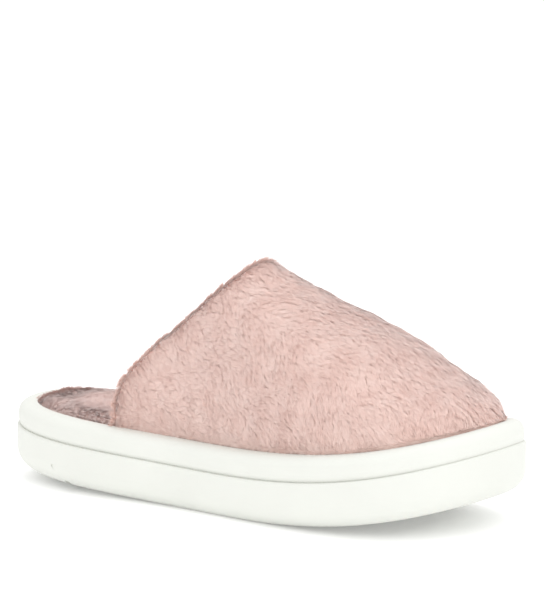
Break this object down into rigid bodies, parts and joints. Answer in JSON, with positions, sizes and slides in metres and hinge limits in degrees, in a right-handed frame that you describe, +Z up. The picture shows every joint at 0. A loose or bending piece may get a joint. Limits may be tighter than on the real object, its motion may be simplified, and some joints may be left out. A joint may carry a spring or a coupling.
{
  "type": "fluffy house slipper",
  "caption": "Backless closed-toe house slipper with a pink faux-fur upper, a plush footbed and a thick white moulded foam sole.",
  "frame": {"origin": "middle of the bounding box, on the ground", "axes": "+X towards the toe, +Y towards the wearer's left, which is the inner side of this right foot, +Z up"},
  "size_m": [0.2701, 0.1107, 0.1145],
  "materials": {
    "eva_white": "matt moulded foam",
    "fibre_board": "pressed fibre board",
    "pad_foam": "soft open foam",
    "pink_plush": "short plush pile",
    "pink_fur": "faux rabbit fur, combed towards the toe",
    "interlining_foam": "thin foam sheet",
    "pink_lining": "short plush pile",
    "pink_tape": "knitted tape",
    "pink_thread": "spun thread",
    "white_thread": "spun thread"
  },
  "bodies": {
    "root": {"outsole": "eva_white", "insole_board": "fibre_board", "footbed_foam": "pad_foam", "footbed_cover": "pink_plush", "vamp_shell": "pink_fur", "vamp_foam": "interlining_foam", "vamp_lining": "pink_lining", "topline_binding": "pink_tape", "topline_stitching": "pink_thread", "lasting_stitching": "white_thread"}
  },
  "joints": []
}
